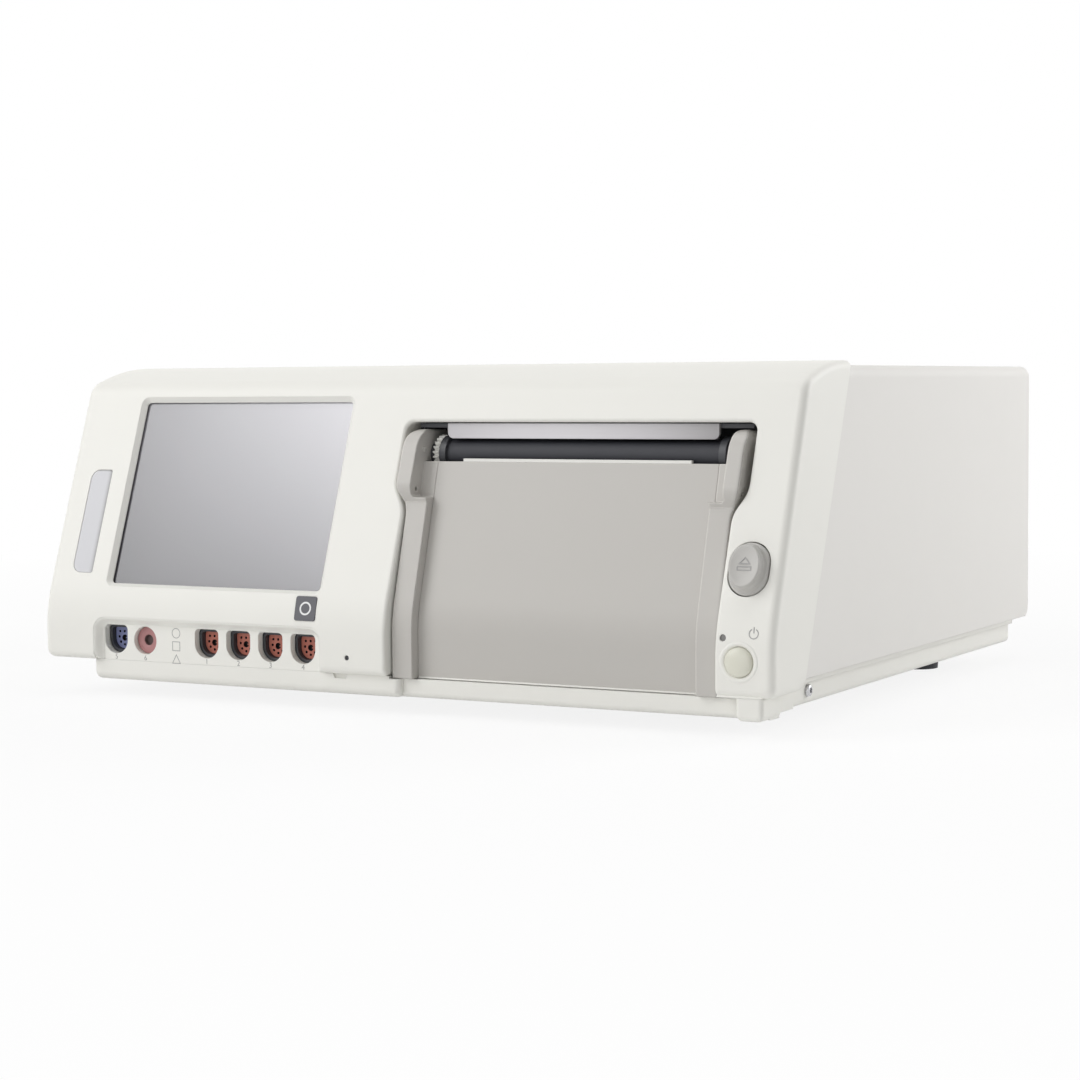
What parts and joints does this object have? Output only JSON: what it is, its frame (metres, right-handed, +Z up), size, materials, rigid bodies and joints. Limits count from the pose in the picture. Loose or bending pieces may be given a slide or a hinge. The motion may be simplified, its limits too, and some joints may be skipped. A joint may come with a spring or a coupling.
{
  "type": "fetal monitor",
  "caption": "Desktop fetal monitor with a sloping touch display, colour-coded sensor sockets, a slide-out paper recorder drawer, an eject button and a power button.",
  "frame": {"origin": "on the surface that the feet stand on, under the middle of the whole monitor", "axes": "+Z up, -Y towards the front with the display and the drawer, +X to the right as seen from the front"},
  "size_m": [0.423, 0.392, 0.173],
  "materials": {
    "bezel_plastic": "fine satin moulding, warm off-white",
    "cover_plastic": "satin, cool light grey-white",
    "drawer_plastic": "satin, warm light grey",
    "white_plastic": "smooth white",
    "button_plastic": "satin light grey",
    "dark_plastic": "matte near-black",
    "slate_plastic": "satin slate blue",
    "brick_plastic": "satin brick red",
    "rose_plastic": "satin dusty rose",
    "rubber": "matte charcoal rubber",
    "screen_glass": "glossy touch glass over an unlit display",
    "silver": "fine brushed silver",
    "steel": "bright steel",
    "board": "coated circuit board",
    "lens": "clear smoky lens",
    "sheet": "plated sheet metal"
  },
  "bodies": {
    "housing": {"front_bezel": "bezel_plastic", "socket_panel": "bezel_plastic", "base_tray": "bezel_plastic", "top_cover": "cover_plastic", "rear_panel": "cover_plastic", "foot_front_left": "rubber", "foot_front_right": "rubber", "foot_rear_left": "rubber", "foot_rear_right": "rubber", "display_gasket": "rubber", "touch_glass": "screen_glass", "lcd_module": "dark_plastic", "display_bracket": "sheet", "name_plate": "silver", "square_badge": "dark_plastic", "pulse_shroud": "dark_plastic", "pulse_insert": "slate_plastic", "cuff_socket": "rose_plastic", "sensor_board": "board", "eject_guide": "dark_plastic", "power_switch": "dark_plastic", "power_lamp": "lens", "light_sensor": "dark_plastic", "drawer_rail_left": "dark_plastic", "drawer_rail_right": "dark_plastic", "recorder_frame": "dark_plastic", "print_head": "dark_plastic", "tear_bar": "silver", "paper_motor": "steel", "main_board": "board", "board_posts": "steel", "power_supply": "sheet", "cuff_pump": "dark_plastic", "loudspeaker": "dark_plastic", "mains_inlet": "dark_plastic", "earth_post": "steel", "slot_plates": "sheet", "rear_screws": "steel", "side_screws": "steel", "sensor_1_shroud": "dark_plastic", "sensor_1_insert": "brick_plastic", "sensor_2_shroud": "dark_plastic", "sensor_2_insert": "brick_plastic", "sensor_3_shroud": "dark_plastic", "sensor_3_insert": "brick_plastic", "sensor_4_shroud": "dark_plastic", "sensor_4_insert": "brick_plastic"},
    "drawer": {"drawer_front": "drawer_plastic", "paper_slab": "drawer_plastic", "paper_guide": "white_plastic", "paper_tray": "drawer_plastic", "platen_bush_left": "dark_plastic", "platen_bush_right": "dark_plastic"},
    "platen": {"platen_rubber": "rubber", "platen_collars": "dark_plastic", "platen_shaft": "steel", "platen_gear": "white_plastic"},
    "pinion": {"motor_pinion": "steel"},
    "eject": {"eject_button": "button_plastic"},
    "power": {"power_button": "white_plastic"}
  },
  "joints": [
    {"name": "drawer_slide", "type": "slide", "parent": "housing", "child": "drawer", "axis": [0, -1, 0], "range_m": [0, 0.105]},
    {"name": "platen_spin", "type": "hinge", "parent": "drawer", "child": "platen", "pos_m": [0.0927, -0.15, 0.1278], "axis": [1, 0, 0], "continuous": true},
    {"name": "pinion_spin", "type": "hinge", "parent": "housing", "child": "pinion", "pos_m": [0.012, -0.1364, 0.1278], "axis": [1, 0, 0], "continuous": true},
    {"name": "eject_press", "type": "slide", "parent": "housing", "child": "eject", "axis": [0, 0.9426, -0.3338], "range_m": [0, 0.0035], "stiffness_N_per_m": 500},
    {"name": "power_press", "type": "slide", "parent": "housing", "child": "power", "axis": [0, 1, 0], "range_m": [0, 0.0015], "stiffness_N_per_m": 700}
  ],
  "couplings": [
    {"joint": "pinion_spin", "follows": "platen_spin", "ratio": -1.8333}
  ]
}
